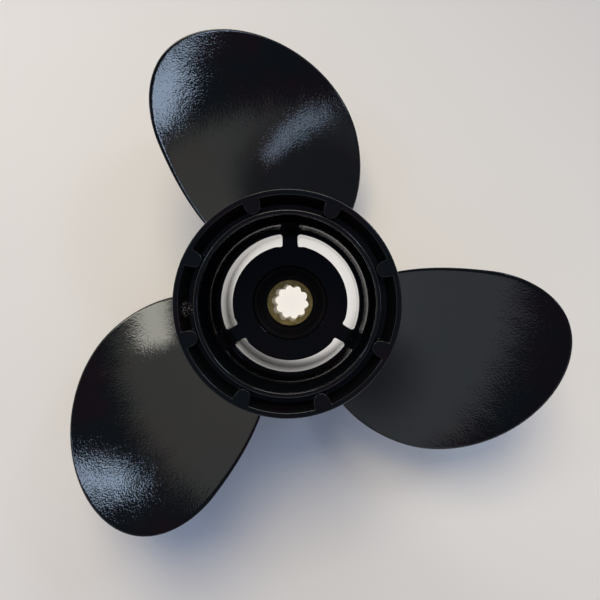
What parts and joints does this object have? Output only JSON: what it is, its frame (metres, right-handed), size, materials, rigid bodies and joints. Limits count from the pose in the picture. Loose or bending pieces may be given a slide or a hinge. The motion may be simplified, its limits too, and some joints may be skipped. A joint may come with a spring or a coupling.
{
  "type": "boat propeller",
  "caption": "Right-hand outboard boat propeller with skewed blades on a through-exhaust hub, a flared aft ring, and a rubber-cushioned brass sleeve with a splined bore.",
  "frame": {"origin": "on the shaft axis, in the plane of the barrel's front rim, which the propeller stands on", "axes": "+Z along the shaft axis towards the aft end; +Y through the first exhaust rib; +X to the right as seen from aft"},
  "size_m": [0.225, 0.2229, 0.102],
  "materials": {
    "painted_casting": "gloss black paint over cast aluminium",
    "bush_rubber": "moulded satin black rubber",
    "sleeve_brass": "dull machined brass"
  },
  "bodies": {
    "sleeve": {"splined_sleeve": "sleeve_brass"},
    "propeller": {"outer_barrel": "painted_casting", "flare_ring": "painted_casting", "flare_pad_1": "painted_casting", "flare_pad_2": "painted_casting", "flare_pad_3": "painted_casting", "flare_pad_4": "painted_casting", "flare_pad_5": "painted_casting", "flare_pad_6": "painted_casting", "flare_pad_7": "painted_casting", "flare_pad_8": "painted_casting", "inner_hub": "painted_casting", "exhaust_rib_1": "painted_casting", "exhaust_rib_2": "painted_casting", "exhaust_rib_3": "painted_casting", "blade_1": "painted_casting", "blade_2": "painted_casting", "blade_3": "painted_casting", "rubber_bush": "bush_rubber"}
  },
  "joints": [
    {"name": "cushion_twist", "type": "hinge", "parent": "sleeve", "child": "propeller", "pos_m": [0, 0, 0.0255], "axis": [0, 0, 1], "range_deg": [-8, 8], "stiffness_Nm_per_rad": 600}
  ]
}
